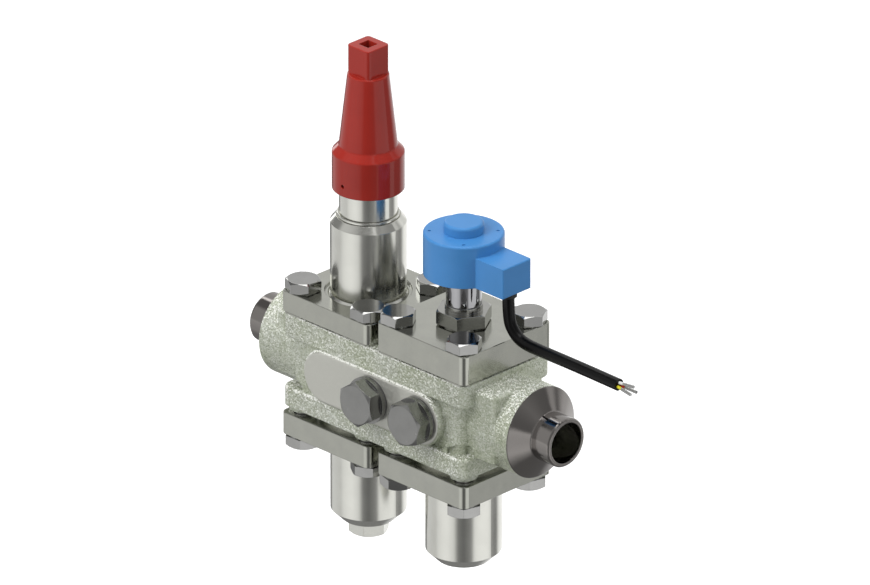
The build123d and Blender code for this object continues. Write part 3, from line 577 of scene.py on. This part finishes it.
def make_lead():
    """Black sheath of the lead, one smooth curve with flat cut ends."""
    data = bpy.data.curves.new("lead_sheath", "CURVE")
    data.dimensions = "3D"
    data.resolution_u = 24
    data.bevel_depth = lead_r
    data.bevel_resolution = 8
    data.use_fill_caps = True
    spline = data.splines.new("NURBS")
    points = lead_points()
    spline.points.add(len(points) - 1)
    for point, place in zip(spline.points, points):
        point.co = (*place, 1)
    spline.order_u = 3
    spline.use_endpoint_u = True
    data.materials.append(finishes["cable_sheath"])
    sheath = link_object(bpy.data.objects.new("lead_sheath", data))
    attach(sheath, "coil")
    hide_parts("coil_cable")


def band_colour(tree, angle, greys):
    """Grey of the surround at a level angle."""
    share = node(tree, "ShaderNodeMapRange", {"Value": angle, "From Min": -pi, "From Max": pi}).outputs[0]
    stops = [((degrees + 180) / 360, "#" + f"{grey:02X}" * 3) for degrees, grey in greys]
    return node(tree, "ShaderNodeValToRGB", {"Fac": share}, stops).outputs["Color"]


def passage(tree, upward, between):
    """Share of the next part of the surround, from 0 to 1 between two slopes."""
    return node(tree, "ShaderNodeMapRange", {"Value": upward, "From Min": between[0],
                "From Max": between[1]}).outputs[0]


def make_surround():
    """One pale grey for the eye and for matt faces. Gloss sees a photographer's tent instead: a
    low and a high band whose grey changes with the level angle, a white top and a grey foot."""
    world = bpy.data.worlds.new("studio")
    world.use_nodes = True
    tree = world.node_tree
    pale = tree.nodes["Background"]
    pale.inputs["Color"].default_value = srgb("#F4F5F6")
    pale.inputs["Strength"].default_value = surround_light
    way = node(tree, "ShaderNodeSeparateXYZ",
               {"Vector": node(tree, "ShaderNodeTexCoord").outputs["Generated"]})
    upward = way.outputs["Z"]
    front = node(tree, "ShaderNodeMath", {0: way.outputs["Y"], 1: -1.0}, operation="MULTIPLY").outputs[0]
    angle = node(tree, "ShaderNodeMath", {0: way.outputs["X"], 1: front}, operation="ARCTAN2").outputs[0]
    low = band_colour(tree, angle, low_greys)
    high = band_colour(tree, angle, high_greys)
    rise = passage(tree, upward, low_to_high)
    bands = node(tree, "ShaderNodeMix", {"Factor": rise, 6: low, 7: high}, data_type="RGBA").outputs[2]
    with_top = node(tree, "ShaderNodeMix", {"Factor": passage(tree, upward, high_to_top), 6: bands,
                    7: srgb("#FFFFFF")}, data_type="RGBA").outputs[2]
    tent = node(tree, "ShaderNodeMix", {"Factor": passage(tree, upward, low_to_foot), 6: with_top,
                7: srgb("#707070")}, data_type="RGBA").outputs[2]
    power = node(tree, "ShaderNodeMapRange", {"Value": rise, "To Min": low_light,
                 "To Max": high_light}).outputs[0]
    gloss = node(tree, "ShaderNodeBackground", {"Color": tent, "Strength": power}).outputs[0]
    glossy = node(tree, "ShaderNodeLightPath").outputs["Is Glossy Ray"]
    both = node(tree, "ShaderNodeMixShader", {0: glossy, 1: pale.outputs[0], 2: gloss}).outputs[0]
    tree.links.new(both, tree.nodes["World Output"].inputs["Surface"])
    bpy.context.scene.world = world


def make_floor():
    """Pale glowing paper well below the pipe, which neither gloss nor matt faces pick up."""
    sheet = bmesh.new()
    bmesh.ops.create_grid(sheet, x_segments=1, y_segments=1, size=floor_reach)
    bmesh.ops.translate(sheet, vec=(0, 0, cad_low.z - floor_drop), verts=sheet.verts)
    mesh = bpy.data.meshes.new("floor")
    sheet.to_mesh(mesh)
    sheet.free()
    material, _, shader, _ = new_material("pale_paper_floor")
    shader.inputs["Base Color"].default_value = srgb("#FAFAFA")
    shader.inputs["Roughness"].default_value = 0.9
    shader.inputs["Emission Color"].default_value = srgb("#FFFFFF")
    shader.inputs["Emission Strength"].default_value = floor_glow
    mesh.materials.append(material)
    paper = link_object(bpy.data.objects.new("floor", mesh))
    paper.visible_glossy = False
    paper.visible_diffuse = False


def make_studio():
    """Floor, surround and three soft boxes, with colours shown as they are."""
    make_floor()
    make_surround()
    make_lamp("key_box", azimuth=-20, elevation=40, distance=1.6, width=1.0, height=1.0, power=19)
    make_lamp("side_box", azimuth=120, elevation=20, distance=1.5, width=0.5, height=1.2, power=5)
    make_lamp("top_box", azimuth=30, elevation=80, distance=1.5, width=1.2, height=1.2, power=12)
    bpy.context.scene.view_settings.view_transform = "Standard"


make_camera()
dress_nodes()
make_casting()
make_springs()
make_lead()
make_studio()
